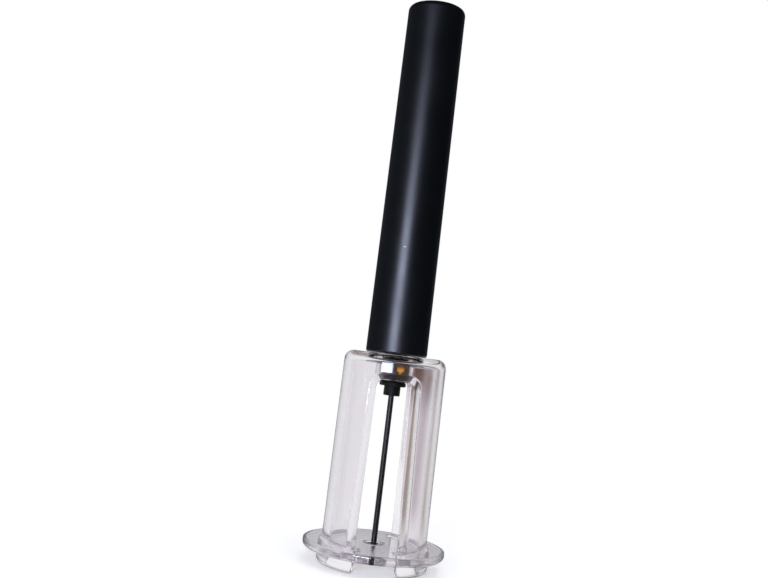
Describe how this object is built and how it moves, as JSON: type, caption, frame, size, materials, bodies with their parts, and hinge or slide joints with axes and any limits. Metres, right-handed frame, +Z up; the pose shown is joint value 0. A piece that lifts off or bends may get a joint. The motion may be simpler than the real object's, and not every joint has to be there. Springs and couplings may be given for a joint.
{
  "type": "air pump wine opener",
  "caption": "Hand air pump that opens wine bottles: sleeve handle sliding on a rod and piston, clear two-winged bottle holder, hollow needle and a sliding cork plate.",
  "frame": {"origin": "centre of the bounding box's underside: on the needle's axis, level with the soles of the bottle holder's two feet", "axes": "+Z up the common axis of needle, rod and handle, from the feet to the handle's closed top; the two windows of the bottle holder face -Y and +Y and its two wings face -X and +X"},
  "size_m": [0.05, 0.05, 0.201],
  "materials": {
    "clear_plastic": "clear moulded plastic, glossy",
    "handle_plastic": "black moulded plastic, satin with a fine grain",
    "black_plastic": "black moulded plastic, semi-gloss",
    "needle_coating": "black non-stick coating on steel",
    "black_rubber": "black rubber, matt",
    "nickel": "nickel plated, polished",
    "brass": "bare brass, turned",
    "aluminium": "drawn aluminium, satin",
    "white_plastic": "white acetal, satin"
  },
  "bodies": {
    "holder": {"bottle_holder": "clear_plastic", "rod_nut": "black_plastic", "valve_body": "nickel", "valve_plug": "brass", "socket_washer": "black_rubber", "hub_gasket": "black_rubber", "needle_hub": "black_plastic", "needle": "needle_coating", "pump_rod": "aluminium", "piston_head": "black_plastic", "piston_screw": "nickel", "valve_spring": "nickel"},
    "ring": {"piston_ring": "black_rubber"},
    "handle": {"handle_shell": "handle_plastic", "pump_barrel": "aluminium", "barrel_cap": "black_plastic", "cap_seal": "black_rubber", "mouth_cap": "black_plastic", "guide_bush": "white_plastic", "stop_bumper": "black_rubber"},
    "ejector": {"ejector_plate": "clear_plastic"},
    "ball": {"valve_ball": "nickel"}
  },
  "joints": [
    {"name": "handle_turn", "type": "hinge", "parent": "holder", "child": "ring", "pos_m": [0, 0, 0.186], "axis": [0, 0, 1], "continuous": true},
    {"name": "handle_slide", "type": "slide", "parent": "ring", "child": "handle", "axis": [0, 0, 1], "range_m": [0, 0.0927]},
    {"name": "ejector_slide", "type": "slide", "parent": "holder", "child": "ejector", "axis": [0, 0, 1], "range_m": [0, 0.0547]},
    {"name": "valve_lift", "type": "slide", "parent": "holder", "child": "ball", "axis": [0, 0, -1], "range_m": [0, 0.0008], "stiffness_N_per_m": 40, "springref_m": -0.0005, "deforming": ["valve_spring"]}
  ]
}
